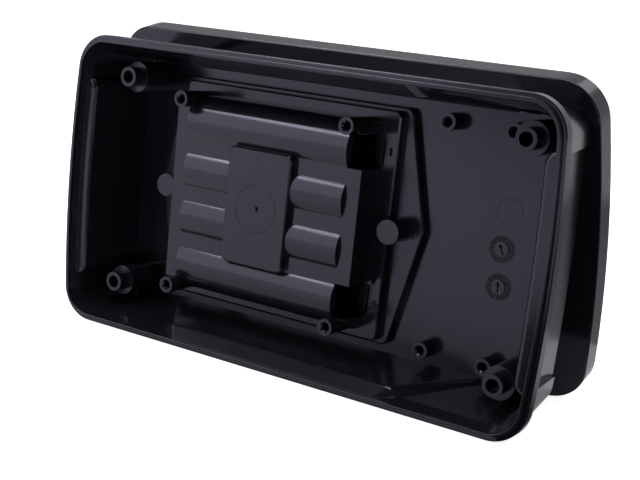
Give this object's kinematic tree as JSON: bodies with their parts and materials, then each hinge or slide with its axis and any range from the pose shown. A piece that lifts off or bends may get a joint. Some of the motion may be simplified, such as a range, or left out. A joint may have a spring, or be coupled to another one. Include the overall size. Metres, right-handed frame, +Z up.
{
  "type": "enclosure",
  "caption": "Two-part moulded plastic enclosure, open, with a screwed battery door, set-in grips and board bosses; the cover leans behind the base.",
  "frame": {"origin": "middle of the footprint of the standing pair, on the table", "axes": "+X along the halves to the right of the picture, +Z up, open side of the base to -Y"},
  "size_m": [0.188, 0.0646, 0.1044],
  "materials": {
    "base_abs": "fine satin from a spark-eroded mould",
    "door_abs": "fine satin",
    "cover_abs": "polished",
    "screw_steel": "zinc plated"
  },
  "bodies": {
    "root": {"base_shell": "base_abs", "battery_door": "door_abs", "door_screw_left": "screw_steel", "door_screw_right": "screw_steel", "cover_shell": "cover_abs"}
  },
  "joints": []
}
